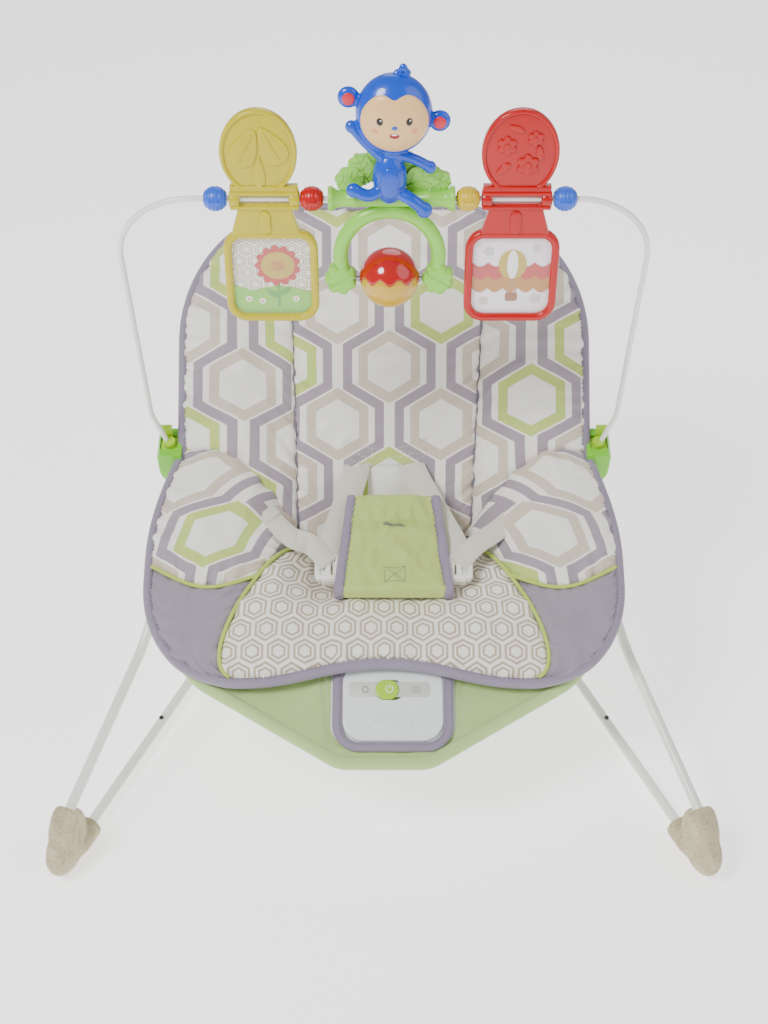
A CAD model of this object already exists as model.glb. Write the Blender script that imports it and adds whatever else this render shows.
"""Bouncer seat: the visual model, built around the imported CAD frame.  Metres, +Z up, baby faces -Y."""
from math import copysign, cos, exp, hypot, pi, radians, sin, sqrt, tau

import bpy
from mathutils import Matrix, Vector, noise
from mathutils.bvhtree import BVHTree


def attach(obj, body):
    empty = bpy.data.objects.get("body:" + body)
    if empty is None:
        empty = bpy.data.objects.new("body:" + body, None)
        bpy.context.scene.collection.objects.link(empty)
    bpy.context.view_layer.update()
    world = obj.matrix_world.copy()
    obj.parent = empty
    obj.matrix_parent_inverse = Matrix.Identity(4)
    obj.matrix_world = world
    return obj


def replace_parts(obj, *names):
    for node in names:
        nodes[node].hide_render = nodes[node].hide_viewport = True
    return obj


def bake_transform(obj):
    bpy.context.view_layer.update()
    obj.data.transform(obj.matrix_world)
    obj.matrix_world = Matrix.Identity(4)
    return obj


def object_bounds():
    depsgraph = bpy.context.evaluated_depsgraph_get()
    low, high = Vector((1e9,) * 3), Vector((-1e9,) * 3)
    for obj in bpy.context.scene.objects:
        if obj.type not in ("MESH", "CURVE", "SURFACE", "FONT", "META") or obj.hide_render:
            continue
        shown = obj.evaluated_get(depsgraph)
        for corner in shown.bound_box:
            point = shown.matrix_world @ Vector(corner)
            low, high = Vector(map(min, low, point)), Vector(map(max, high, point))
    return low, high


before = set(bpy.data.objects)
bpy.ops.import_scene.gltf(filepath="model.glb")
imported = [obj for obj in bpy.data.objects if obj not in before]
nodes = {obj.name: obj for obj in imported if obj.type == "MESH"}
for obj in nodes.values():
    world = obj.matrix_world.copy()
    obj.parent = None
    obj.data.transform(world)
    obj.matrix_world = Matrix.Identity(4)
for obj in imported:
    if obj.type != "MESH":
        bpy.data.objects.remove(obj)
CAD_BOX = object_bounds()
MM = 0.001


# ---------------------------------------------------------------- the CAD's own lines, repeated
HUB_Y, HUB_Z = 67.0, 250.0
BACK_SLOPE, SEAT_SLOPE, BAR_LEAN = radians(47.9), radians(28.2), radians(15.5)
PAD_LIFT, PAD_BACK_LEN, PAD_SEAT_LEN = 12.8, 241.0, 235.0
HIP = (-9.0, 115.0)
HAMMOCK, RIM = 2.2, 0.86
BAR_RISE = 326.8
BAR_Y, BAR_Z = HUB_Y - BAR_RISE * sin(BAR_LEAN), HUB_Z + BAR_RISE * cos(BAR_LEAN)


def on_back(s, lift=0.0):
    return (HUB_Y + s * cos(BACK_SLOPE) - lift * sin(BACK_SLOPE),
            HUB_Z + s * sin(BACK_SLOPE) + lift * cos(BACK_SLOPE))


def on_seat(s, lift=0.0):
    return (HUB_Y - s * cos(SEAT_SLOPE) - lift * sin(SEAT_SLOPE),
            HUB_Z - s * sin(SEAT_SLOPE) + lift * cos(SEAT_SLOPE))


def back_half_width(s):
    straight, side, top = 110.0, 194.0, 70.0
    t = max(0.0, (s - straight) / (PAD_BACK_LEN - straight))
    return side if s <= straight else top + (side - top) * sqrt(max(0.0, 1 - t * t))


def seat_half_width(s):
    hub, wide, front, full, turn = 192.0, 218.5, 141.0, 115.0, 140.0
    if s <= full:
        return hub + (wide - hub) * sin(pi / 2 * s / full)
    t = max(0.0, (s - turn) / (PAD_SEAT_LEN - turn))
    return wide if s <= turn else front + (wide - front) * sqrt(max(0.0, 1 - t * t))


def bezier(points, t):
    weights = ((1 - t) ** 3, 3 * t * (1 - t) ** 2, 3 * t * t * (1 - t), t ** 3)
    return tuple(sum(w * p[k] for w, p in zip(weights, points)) for k in (0, 1))


def cover_point(u, centre, edge, half_width):
    g = sin(pi / 2 * min(1.0, abs(u) / RIM)) ** HAMMOCK
    y, z = (middle + (rim - middle) * g for middle, rim in zip(centre, edge))
    return Vector((u * half_width, y, z))


def back_point(u, v):
    top = on_back(PAD_BACK_LEN, PAD_LIFT)
    centre = (HIP[0] + (top[0] - HIP[0]) * v, HIP[1] + (top[1] - HIP[1]) * v)
    return cover_point(u, centre, on_back(v * PAD_BACK_LEN, PAD_LIFT), back_half_width(v * PAD_BACK_LEN))


def seat_point(u, v):
    centre = bezier((HIP, (-32, 178), (-78, 174), (-130, 160)), v)
    return cover_point(u, centre, on_seat(v * PAD_SEAT_LEN, PAD_LIFT), seat_half_width(v * PAD_SEAT_LEN))


def surface_normal(surface, u, v):
    step = 0.002
    across = surface(min(1, u + step), v) - surface(max(-1, u - step), v)
    along = surface(u, min(1, v + step)) - surface(u, max(0, v - step))
    n = across.cross(along)
    if surface is seat_point:
        n = -n
    return n.normalized()


# ---------------------------------------------------------------- material nodes
DEEPEN, DARKEN = 1.65, 0.58   # soft light pales a colour, so pigments are stronger than they show


def rgb(r, g, b):
    """A linear pigment for the 0-255 colour that it shows."""
    grey = (r + g + b) / 3
    shown = [min(1.0, max(0.0, (grey + (c - grey) * DEEPEN) / 255)) for c in (r, g, b)]
    level = 1 - DARKEN * (max(r, g, b) - min(r, g, b)) / max(r, g, b)
    linear = (c / 12.92 if c <= 0.04045 else ((c + 0.055) / 1.055) ** 2.4 for c in shown)
    return tuple(level * c for c in linear) + (1.0,)


def scaled(colour, factor):
    """The same colour, darker or lighter."""
    return tuple(min(1, c * factor) for c in colour[:3]) + (1.0,)


class Nodes:
    """Short spellings for building one material's node tree."""

    def __init__(self, name):
        self.material = bpy.data.materials.new(name)
        self.material.use_nodes = True
        self.tree = self.material.node_tree
        self.shader = self.tree.nodes["Principled BSDF"]

    def add(self, kind, **values):
        node = self.tree.nodes.new(kind)
        for key, value in values.items():
            setattr(node, key, value)
        return node

    def feed(self, socket, value):
        if isinstance(value, bpy.types.NodeSocket):
            self.tree.links.new(value, socket)
        else:
            socket.default_value = value

    def math(self, operation, a, b=0.0, c=0.0, clamp=False):
        node = self.add("ShaderNodeMath", operation=operation, use_clamp=clamp)
        for socket, value in zip(node.inputs, (a, b, c)):
            self.feed(socket, value)
        return node.outputs[0]

    def mix(self, factor, a, b, blend="MIX"):
        node = self.add("ShaderNodeMix", data_type="RGBA", blend_type=blend)
        self.feed(node.inputs[0], factor)
        self.feed(node.inputs[6], a)
        self.feed(node.inputs[7], b)
        return node.outputs[2]

    def noise(self, scale, detail=3.0, vector=None):
        node = self.add("ShaderNodeTexNoise")
        self.feed(node.inputs["Vector"], vector or self.place())
        self.feed(node.inputs["Scale"], scale)
        self.feed(node.inputs["Detail"], detail)
        return node.outputs["Fac"]

    def place(self):
        return self.add("ShaderNodeTexCoord").outputs["Object"]

    def uv(self):
        split = self.add("ShaderNodeSeparateXYZ")
        self.feed(split.inputs[0], self.add("ShaderNodeTexCoord").outputs["UV"])
        return split.outputs[0], split.outputs[1]

    def bump(self, height, strength, distance):
        node = self.add("ShaderNodeBump")
        self.feed(node.inputs["Height"], height)
        self.feed(node.inputs["Strength"], strength)
        self.feed(node.inputs["Distance"], distance)
        self.feed(self.shader.inputs["Normal"], node.outputs[0])

    def finish(self, colour, roughness, **values):
        self.feed(self.shader.inputs["Base Color"], colour)
        self.feed(self.shader.inputs["Roughness"], roughness)
        for key, value in values.items():
            self.feed(self.shader.inputs[key.replace("_", " ")], value)
        return self.material


def moulded(name, colour, roughness=0.32, scuffs=0.05, grain=0.15, **values):
    """Injection-moulded plastic or paint: a little mottling, fine orange peel and worn gloss."""
    n = Nodes(name)
    cloud = n.noise(45, 4)
    shade = n.mix(cloud, scaled(colour, 1 - scuffs), scaled(colour, 1 + scuffs))
    rough = n.math("MULTIPLY_ADD", n.noise(160, 3), 0.14, roughness - 0.07)
    n.bump(n.noise(900, 2), grain, 0.0002)
    return n.finish(shade, rough, **values)


def weave(n, pitch=0.55):
    """Height of a plain weave whose threads are pitch apart, from UVs in millimetres."""
    x, y = n.uv()
    warp = n.math("SINE", n.math("MULTIPLY", x, tau / (2 * pitch)))
    weft = n.math("SINE", n.math("MULTIPLY", y, tau / (2 * pitch)))
    return n.math("MULTIPLY", warp, weft)


def cloth(name, colour, pitch=0.6, roughness=0.85, fade=0.07, strength=0.25):
    n = Nodes(name)
    height = weave(n, pitch)
    cloud = n.noise(18, 4)
    shade = n.mix(cloud, scaled(colour, 1 - fade), scaled(colour, 1 + fade))
    n.bump(n.math("ADD", height, n.math("MULTIPLY", n.noise(1400, 2), 0.8)), strength, 0.00025)
    return n.finish(shade, roughness, Sheen_Weight=0.25, Sheen_Roughness=0.5)


def near(n, value, low, high, soft=0.35):
    """1 where value lies between low and high, with a soft printed edge."""
    rise = n.math("MULTIPLY_ADD", value, 1 / soft, -low / soft + 0.5, clamp=True)
    fall = n.math("MULTIPLY_ADD", value, -1 / soft, high / soft + 0.5, clamp=True)
    return n.math("MULTIPLY", rise, fall)


def hexagons(n, origin, pitch, row, plane="uv"):
    """Two staggered sets of hexagon cells: distance across, slanting distance, column, row in each."""
    if plane == "uv":
        x, y = n.uv()
    else:
        split = n.add("ShaderNodeSeparateXYZ")
        n.feed(split.inputs[0], n.place())
        x, y = (n.math("MULTIPLY", split.outputs[k], 1 / MM) for k in (0, 2))
    x = n.math("SUBTRACT", x, origin[0])
    y = n.math("SUBTRACT", y, origin[1])

    def nearest(value, spacing, shift):
        index = n.math("SUBTRACT", n.math("DIVIDE", value, spacing), shift)
        return n.math("ADD", n.math("ROUND", index), shift)

    cells = []
    for shift in (0, 0.5):
        column = nearest(x, pitch, shift)
        line = nearest(y, 2 * row, shift)
        across = n.math("ABSOLUTE", n.math("SUBTRACT", x, n.math("MULTIPLY", column, pitch)))
        down = n.math("ABSOLUTE", n.math("SUBTRACT", y, n.math("MULTIPLY", line, 2 * row)))
        slant = n.math("ADD", n.math("MULTIPLY", across, 0.5), n.math("MULTIPLY", down, 0.866))
        cells.append((across, slant, column, line))
    return cells


RING = (21.4, 30.6)          # beige or green ring, from the cell's centre
LINK = (36.9, 46.2)          # purple-grey outline beside it
LINK_HALF = (LINK[1] - LINK[0]) / 2


def hexagon_print(name, origin, green, rows_up=-1, pitch=103.0, row=56.0):
    """Printed fabric: zigzag purple-grey outlines linking beige and green hexagons, on cream.

    green = (modulus, shift, share) picks the green ones; rows_up is 1 where rows count down the cloth.
    """
    n = Nodes(name)
    cells = hexagons(n, origin, pitch, row)
    slanted = (pitch / 4 + 0.866 * row) / 2
    modulus, shift, share = green
    cream, beige = rgb(244, 243, 238), rgb(207, 199, 188)
    colour = cream
    links = []
    for across, slant, column, line in cells:
        key = n.math("MULTIPLY_ADD", column, 3, n.math("MULTIPLY", line, rows_up))
        key = n.math("MODULO", n.math("ADD", key, 400 - shift + 0.25), modulus)
        ring = n.mix(n.math("LESS_THAN", key, share), beige, rgb(197, 210, 146))
        colour = n.mix(near(n, n.math("MAXIMUM", across, slant), *RING), colour, ring)
        side = n.math("MULTIPLY", near(n, across, *LINK),
                      n.math("LESS_THAN", slant, slanted + LINK_HALF))
        slope = n.math("MULTIPLY", near(n, slant, slanted - LINK_HALF, slanted + LINK_HALF),
                       near(n, across, pitch / 2 - LINK[1], LINK[1]))
        links += [side, slope]
    link = n.math("MAXIMUM", n.math("MAXIMUM", *links[:2]), n.math("MAXIMUM", *links[2:]))
    colour = n.mix(link, colour, rgb(160, 153, 160))
    colour = n.mix(n.math("MULTIPLY", n.noise(25, 4), 0.12), colour, rgb(205, 203, 198), "MULTIPLY")
    n.bump(n.math("ADD", weave(n), n.math("MULTIPLY", n.noise(1300, 2), 0.8)), 0.2, 0.0002)
    return n.finish(colour, 0.82, Sheen_Weight=0.2, Sheen_Roughness=0.5)


def small_print(name, pitch=24.0, plane="uv", thread=True, tint=rgb(184, 174, 160)):
    """Printed fabric or card: small honeycomb of double outlines."""
    n = Nodes(name)
    cells = hexagons(n, (0, 0), pitch, pitch * 0.866, plane)
    size = n.math("MINIMUM", *[n.math("MAXIMUM", across, slant) for across, slant, *_ in cells])
    lines = n.math("MAXIMUM", near(n, size, pitch * 0.345, pitch * 0.435, 0.3),
                   near(n, size, pitch * 0.19, pitch * 0.27, 0.3))
    colour = n.mix(lines, rgb(243, 242, 236), tint)
    if thread:
        n.bump(n.math("ADD", weave(n), n.math("MULTIPLY", n.noise(1300, 2), 0.8)), 0.2, 0.0002)
    else:
        n.bump(n.noise(600, 2), 0.05, 0.0001)
    return n.finish(colour, 0.82 if thread else 0.45)


def webbing(name, colour):
    """Ribbed woven strap, from UVs in millimetres along (y) and across (x) it."""
    n = Nodes(name)
    x, y = n.uv()
    rib = n.math("SINE", n.math("MULTIPLY", y, tau / 1.9))
    pick = n.math("SINE", n.math("MULTIPLY", x, tau / 1.3))
    height = n.math("MULTIPLY_ADD", pick, 0.3, rib)
    shade = n.mix(n.math("MULTIPLY_ADD", rib, 0.25, 0.5), scaled(colour, 0.84), colour)
    n.bump(height, 0.6, 0.0005)
    return n.finish(shade, 0.75, Sheen_Weight=0.2)


def worn_rubber(name):
    n = Nodes(name)
    dirt = n.noise(60, 6)
    fine = n.noise(420, 4)
    stained = n.math("MULTIPLY_ADD", dirt, 2.4, -0.75, clamp=True)
    specks = n.math("MULTIPLY_ADD", fine, 3.0, -1.5, clamp=True)
    shade = n.mix(stained, rgb(172, 163, 142), rgb(208, 200, 180))
    shade = n.mix(specks, shade, rgb(140, 130, 112))
    n.bump(n.math("ADD", fine, dirt), 0.35, 0.0006)
    return n.finish(shade, n.math("MULTIPLY_ADD", dirt, 0.2, 0.62))


WHITE = moulded("painted steel", rgb(236, 236, 233), 0.28, 0.03, 0.1, Coat_Weight=0.3)
STEEL = moulded("steel", rgb(170, 170, 168), 0.3, 0.08, 0.2, Metallic=0.9)
BLACK = moulded("black plastic", rgb(36, 36, 38), 0.4)
CLAMP = moulded("clamp green", rgb(142, 204, 78), 0.34, 0.04, 0.2)
PLUG = moulded("plug green", rgb(190, 224, 98), 0.3, 0.04, 0.2)
LEAF = moulded("toy green", rgb(160, 208, 112), 0.3, 0.04, 0.12)
YELLOW = moulded("toy yellow", rgb(250, 208, 44), 0.28, 0.03, 0.12)
RED = moulded("toy red", rgb(222, 14, 30), 0.24, 0.04, 0.12)
BALL_RED = moulded("ball red", rgb(222, 8, 14), 0.14, 0.03, 0.05, Coat_Weight=0.6)
BALL_YELLOW = moulded("ball yellow", rgb(224, 184, 66), 0.18, 0.03, 0.05, Coat_Weight=0.5)
BLUE = moulded("toy blue", rgb(42, 104, 212), 0.22, 0.04, 0.08, Coat_Weight=0.3)
TAN = moulded("face tan", rgb(238, 204, 164), 0.3, 0.02, 0.05)
BEAD_BLUE = moulded("bead blue", rgb(84, 122, 208), 0.3)
BEAD_YELLOW = moulded("bead yellow", rgb(232, 200, 92), 0.3)
BEAD_RED = moulded("bead red", rgb(214, 16, 32), 0.26)
UNIT_WHITE = moulded("unit white", rgb(236, 240, 240), 0.3, 0.02, 0.15)
UNIT_GREY = moulded("unit print", rgb(206, 205, 200), 0.35, 0.02, 0.1)
ICON = moulded("icon grey", rgb(140, 142, 142), 0.4, 0.02, 0.1)
BUCKLE = moulded("buckle white", rgb(238, 238, 232), 0.34, 0.02, 0.2)
INK_BLACK = moulded("black paint", rgb(28, 24, 24), 0.2)
INK_WHITE = moulded("white paint", rgb(248, 248, 246), 0.25)
INK_PINK = moulded("pink paint", rgb(222, 74, 92), 0.3)
INK_ORANGE = moulded("orange print", rgb(240, 160, 40), 0.4)
INK_RED = moulded("red print", rgb(214, 58, 42), 0.4)
INK_GREEN = moulded("green print", rgb(150, 200, 84), 0.4)
INK_YELLOW = moulded("yellow print", rgb(248, 196, 52), 0.4)
RUBBER = worn_rubber("scuffed rubber")
SLING = cloth("sling cloth", rgb(186, 204, 156), 0.9, strength=0.4)
CROTCH = cloth("crotch pad cloth", rgb(188, 201, 140), 0.7)
GREY_CLOTH = cloth("grey cloth", rgb(150, 144, 152), 0.5)
BINDING = cloth("binding", rgb(142, 136, 148), 0.7)
GREEN_PIPING = cloth("green piping", rgb(192, 208, 128), 0.6)
THREAD_GREY = cloth("grey thread", rgb(122, 118, 128), 0.3)
THREAD_WHITE = cloth("white thread", rgb(232, 230, 222), 0.3)
STRAP = webbing("webbing", rgb(232, 230, 220))


def clear_plastic(name):
    n = Nodes(name)
    n.bump(n.noise(70, 2), 0.05, 0.0003)
    return n.finish((1, 1, 1, 1), n.math("MULTIPLY_ADD", n.noise(90, 2), 0.05, 0.04), Alpha=0.06)


WINDOW = clear_plastic("clear window")


# ---------------------------------------------------------------- mesh helpers
def new_mesh(name, points, faces, material, uvs=None, smooth=True, scale=MM):
    """An object from points in millimetres; uvs holds one pair for each point."""
    name = name.replace(" ", "_")
    mesh = bpy.data.meshes.new(name)
    mesh.from_pydata([Vector(p) * scale for p in points], [], faces)
    mesh.materials.append(material)
    if uvs:
        layer = mesh.uv_layers.new(name="UVMap")
        for loop in mesh.loops:
            layer.data[loop.index].uv = uvs[loop.vertex_index]
    mesh.validate()
    obj = bpy.data.objects.new(name, mesh)
    bpy.context.scene.collection.objects.link(obj)
    if smooth:
        mesh.shade_smooth()
    return obj


def to_mesh(obj):
    """The object with its modifiers or curve turned into a plain mesh."""
    graph = bpy.context.evaluated_depsgraph_get()
    mesh = bpy.data.meshes.new_from_object(obj.evaluated_get(graph))
    name, matrix = obj.name, obj.matrix_world.copy()
    bpy.data.objects.remove(obj)
    mesh.transform(matrix)
    result = bpy.data.objects.new(name, mesh)
    bpy.context.scene.collection.objects.link(result)
    return result


def modified(obj, kind, **values):
    modifier = obj.modifiers.new(kind, kind)
    for key, value in values.items():
        setattr(modifier, key, value)
    return obj


def join(name, objects):
    """One mesh object holding all the given ones, each keeping its material."""
    with bpy.context.temp_override(active_object=objects[0], selected_objects=objects,
                                   selected_editable_objects=objects):
        bpy.ops.object.join()
    objects[0].name = name.replace(" ", "_")
    return objects[0]


def slab(name, top, bottom, uv, material, columns, rows):
    """A closed form between two grids of points, each a function of (i, j)."""
    points, uvs, faces = [], [], []
    for layer in (top, bottom):
        for j in range(rows + 1):
            for i in range(columns + 1):
                points.append(layer(i / columns, j / rows))
                uvs.append(uv(i / columns, j / rows))
    width = columns + 1
    base = width * (rows + 1)
    for j in range(rows):
        for i in range(columns):
            a = j * width + i
            faces.append((a, a + 1, a + 1 + width, a + width))
            faces.append((base + a, base + a + width, base + a + 1 + width, base + a + 1))
    for i in range(columns):
        last = rows * width
        faces.append((i, base + i, base + i + 1, i + 1))
        faces.append((last + i + 1, base + last + i + 1, base + last + i, last + i))
    for j in range(rows):
        a, b = j * width, j * width + columns
        faces.append((a + width, base + a + width, base + a, a))
        faces.append((b, base + b, base + b + width, b + width))
    return new_mesh(name, points, faces, material, uvs)


def sweep(name, path, section, material, closed=False, twist=None):
    """A closed section of (side, up) pairs carried along a path; twist gives up at each point."""
    count, points, uvs, faces = len(path), [], [], []
    length = 0.0
    up_guess = Vector((0, 0, 1))
    for k, p in enumerate(path):
        p = Vector(p)
        before = Vector(path[k - 1]) if k or closed else p
        after = Vector(path[(k + 1) % count]) if k < count - 1 or closed else p
        run = (after - before).normalized()
        up = Vector(twist[k]) if twist else up_guess
        side = run.cross(up)
        if side.length < 1e-4:
            side = run.cross(Vector((1, 0, 0)))
        side.normalize()
        up = side.cross(run).normalized()
        if not twist:
            up_guess = up
        if k:
            length += (p - Vector(path[k - 1])).length
        around = 0.0
        for m, (a, b) in enumerate(section):
            points.append(p + side * a + up * b)
            uvs.append((around, length))
            c = section[(m + 1) % len(section)]
            around += hypot(c[0] - a, c[1] - b)
    ring = len(section)
    for k in range(count if closed else count - 1):
        for m in range(ring):
            a, b = k * ring + m, k * ring + (m + 1) % ring
            c, d = ((k + 1) % count) * ring + (m + 1) % ring, ((k + 1) % count) * ring + m
            faces.append((a, b, c, d))
    if not closed:
        faces.append(tuple(range(ring))[::-1])
        faces.append(tuple((count - 1) * ring + m for m in range(ring)))
    return new_mesh(name, points, faces, material, uvs)


def circle(radius, count=12, wide=1.0):
    turns = [tau * k / count for k in range(count)]
    return [(radius * wide * cos(a), radius * sin(a)) for a in turns]


def flat_section(width, thickness):
    """Rounded thin rectangle, for ribbons."""
    w, t = width / 2, thickness / 2
    e = min(t * 0.8, 0.6)
    half = [(-w, -t + e), (-w + e, -t), (w - e, -t), (w, -t + e)]
    return half + [(-x, -y) for x, y in half]


def smooth_path(points, steps=10):
    """A rounded line through the points."""
    points = [Vector(p) for p in points]
    ends = [points[0] * 2 - points[1]] + points + [points[-1] * 2 - points[-2]]
    result = []
    for k in range(1, len(ends) - 2):
        a, b, c, d = ends[k - 1:k + 3]
        for m in range(steps):
            t = m / steps
            result.append(0.5 * (2 * b + (c - a) * t + (2 * a - 5 * b + 4 * c - d) * t * t
                                 + (3 * b - a - 3 * c + d) * t ** 3))
    return result + [points[-1]]


def facing(x, y, z, lean=0.0):
    """Matrix of a face towards the baby's feet: local X right, Y up, Z forward; lean tips it back."""
    turn = Matrix.Rotation(pi / 2 - lean, 4, "X")
    return Matrix.Translation(Vector((x, y, z)) * MM) @ turn


def plate(name, loops, half, material, place, bevel=0.8, level=0.0):
    """A flat piece with rounded edges around local z = level; loops are its outline, then holes."""
    name = name.replace(" ", "_")
    data = bpy.data.curves.new(name, "CURVE")
    data.dimensions = "2D"
    data.fill_mode = "BOTH"
    bevel = min(bevel, half * 0.98)
    data.extrude = (half - bevel) * MM
    data.bevel_depth = bevel * MM
    data.bevel_resolution = 2
    data.offset = -bevel * MM
    for loop in loops:
        spline = data.splines.new("POLY")
        spline.points.add(len(loop) - 1)
        for p, q in zip(spline.points, loop):
            p.co = (q[0] * MM, q[1] * MM, 0, 1)
        spline.use_cyclic_u = True
    data.materials.append(material)
    obj = bpy.data.objects.new(name, data)
    bpy.context.scene.collection.objects.link(obj)
    obj.matrix_world = place @ Matrix.Translation((0, 0, level * MM))
    bpy.context.view_layer.update()
    obj = to_mesh(obj)
    modified(obj, "WELD", merge_threshold=0.00001)
    obj = to_mesh(obj)
    obj.data.shade_smooth()
    obj.data.set_sharp_from_angle(angle=radians(32))
    return obj


def ellipse(a, b, x=0.0, y=0.0, count=48):
    return [(x + a * cos(tau * k / count), y + b * sin(tau * k / count)) for k in range(count)]


def rounded(width, height, radius, x=0.0, y=0.0, count=8):
    points = []
    for cx, cy, start in ((1, 1, 0), (-1, 1, 90), (-1, -1, 180), (1, -1, 270)):
        for k in range(count + 1):
            a = radians(start + 90 * k / count)
            points.append((x + cx * (width / 2 - radius) + radius * cos(a),
                           y + cy * (height / 2 - radius) + radius * sin(a)))
    return points


def scallops(radius, depth, count, x=0.0, y=0.0, steps=12):
    points = []
    for k in range(count * steps):
        a = tau * k / (count * steps)
        r = radius + depth * abs(sin(count * a / 2))
        points.append((x + r * cos(a), y + r * sin(a)))
    return points


def blob(name, centre, radii, material, rings=20, segments=32, turn=None):
    """An ellipsoid in millimetres."""
    points, faces = [], []
    for j in range(1, rings):
        for i in range(segments):
            a, b = tau * i / segments, pi * j / rings
            p = Vector((radii[0] * sin(b) * cos(a), radii[1] * sin(b) * sin(a), radii[2] * cos(b)))
            points.append((turn @ p if turn else p) + Vector(centre))
    for j in range(rings - 2):
        for i in range(segments):
            a, b = j * segments + i, j * segments + (i + 1) % segments
            faces.append((b, a, a + segments, b + segments))
    for sign, row in ((1, 0), (-1, rings - 2)):
        pole = Vector((0, 0, sign * radii[2]))
        points.append((turn @ pole if turn else pole) + Vector(centre))
        for i in range(segments):
            a, b = row * segments + i, row * segments + (i + 1) % segments
            faces.append((a, b, len(points) - 1) if sign > 0 else (b, a, len(points) - 1))
    return new_mesh(name, points, faces, material)


def lathe(name, profile, centre, material, count=48):
    """A solid turned about the X axis through centre; the profile is (x, radius) from end to end."""
    points, faces = [], []
    for x, r in profile:
        for k in range(count):
            a = tau * k / count
            points.append(Vector(centre) + Vector((x, r * cos(a), r * sin(a))))
    for j in range(len(profile) - 1):
        for k in range(count):
            a, b = j * count + k, j * count + (k + 1) % count
            faces.append((a, b, b + count, a + count))
    faces.append(tuple(range(count)))
    faces.append(tuple((len(profile) - 1) * count + k for k in range(count))[::-1])
    return new_mesh(name, points, faces, material)


def merged(name, objects, material, voxel, smoothing=6):
    """Blobs grown into one smooth moulded form."""
    obj = join(name, objects)
    obj.data.materials.clear()
    obj.data.materials.append(material)
    modified(obj, "REMESH", mode="VOXEL", voxel_size=voxel * MM)
    modified(obj, "SMOOTH", factor=0.5, iterations=smoothing)
    obj = to_mesh(obj)
    obj.data.shade_smooth()
    obj.data.materials.clear()
    obj.data.materials.append(material)
    return obj


def stitches(name, path, normals, material, length=2.6, gap=1.4, radius=0.35, zigzag=0.0, lift=0.2):
    """A row of thread stitches along a path lying on a surface."""
    pieces, travelled, due, side_sign = [], 0.0, 0.0, 1
    points = [Vector(p) for p in path]
    for k in range(len(points) - 1):
        a, b = points[k], points[k + 1]
        n = Vector(normals[k]).normalized()
        step = (b - a).length
        if step < 1e-6:
            continue
        run = (b - a) / step
        side = run.cross(n)
        while due < travelled + step:
            start = a + run * (due - travelled) + n * lift
            if zigzag:
                end = start + run * length + side * zigzag * side_sign
                start = start - side * zigzag * side_sign
                side_sign = -side_sign
            else:
                end = start + run * length
            pieces.append((start, end, n))
            due += length + gap
        travelled += step
    points, faces = [], []
    for start, end, n in pieces:
        run = (end - start).normalized()
        side = run.cross(n)
        middle = (start + end) / 2 + n * radius * 0.9
        for centre, size in ((start, 0.55), (middle, 1.0), (end, 0.55)):
            for k in range(6):
                a = tau * k / 6
                points.append(centre + (side * cos(a) + n * sin(a)) * radius * size)
        base = len(points) - 18
        for j in (0, 6):
            for k in range(6):
                a, b = base + j + k, base + j + (k + 1) % 6
                faces.append((a, b, b + 6, a + 6))
        faces.append(tuple(base + k for k in range(6))[::-1])
        faces.append(tuple(base + 12 + k for k in range(6)))
    return new_mesh(name, points, faces, material)


# ---------------------------------------------------------------- finishes of the CAD pieces that stay
FINISH = {
    WHITE: ("floor_wire_left", "floor_wire_right", "rear_tube", "leg_tube_left", "leg_tube_right",
            "back_tube", "seat_tube", "toy_bar_wire"),
    STEEL: ("floor_spigots", "leg_spigots", "screws", "battery_contacts", "vibration_motor",
            "eccentric_weight", "ball_axle"),
    BLACK: ("snap_buttons", "power_switch"),
    RUBBER: ("rear_feet", "front_boot_left", "front_boot_right"),
    CLAMP: ("clamp_outer_left", "clamp_outer_right", "clamp_inner_halves"),
    PLUG: ("bar_plug_left", "bar_plug_right", "latch_tab_left", "latch_tab_right", "power_slider"),
    UNIT_WHITE: ("unit_front_cover", "unit_rear_cover", "battery_door"),
    UNIT_GREY: ("battery_cell",),
    SLING: ("sling_back", "sling_seat", "sling_front", "sling_hem"),
    CROTCH: ("crotch_pad",),
    STRAP: ("crotch_strap", "waist_strap_left", "waist_strap_right"),
    BUCKLE: ("buckle_socket", "buckle_tongue_left", "buckle_tongue_right"),
    YELLOW: ("yellow_flap",),
    RED: ("red_flap",),
    INK_WHITE: ("yellow_card", "red_card"),
    WINDOW: ("yellow_window", "red_window"),
    LEAF: ("toy_arch",),
}
for finish, names in FINISH.items():
    for name in names:
        nodes[name].data.materials.clear()
        nodes[name].data.materials.append(finish)


# ---------------------------------------------------------------- padded cover
LINING = cloth("cover lining", rgb(232, 231, 226))
BUCKLE_X = 9.0           # the harness sits a little right of the middle
PAD_HALF = 5.0           # half thickness at the seams
PUFF = 8.5               # how far the filling crowns between seams
CROWN_RUN = 13.0         # distance from a seam over which it rises
STITCH_SINK, STITCH_RUN = 3.2, 2.5
UP_BACK = Vector((0, cos(BACK_SLOPE), sin(BACK_SLOPE)))
DOWN_SEAT = Vector((0, -cos(SEAT_SLOPE), -sin(SEAT_SLOPE)))
HUB = Vector((0, HUB_Y, HUB_Z))


def seat_span(u, v, steps=24):
    """Arc length across the cover from its middle to u."""
    total, last = 0.0, seat_point(0, v)
    for k in range(1, steps + 1):
        here = seat_point(u * k / steps, v)
        total += (here - last).length
        last = here
    return total if u >= 0 else -total


def back_uv(u, v):
    p = back_point(u, v)
    return p.x, (p - HUB).dot(UP_BACK)


def seat_uv(u, v):
    return seat_span(u, v), (seat_point(u, v) - HUB).dot(DOWN_SEAT)


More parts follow.
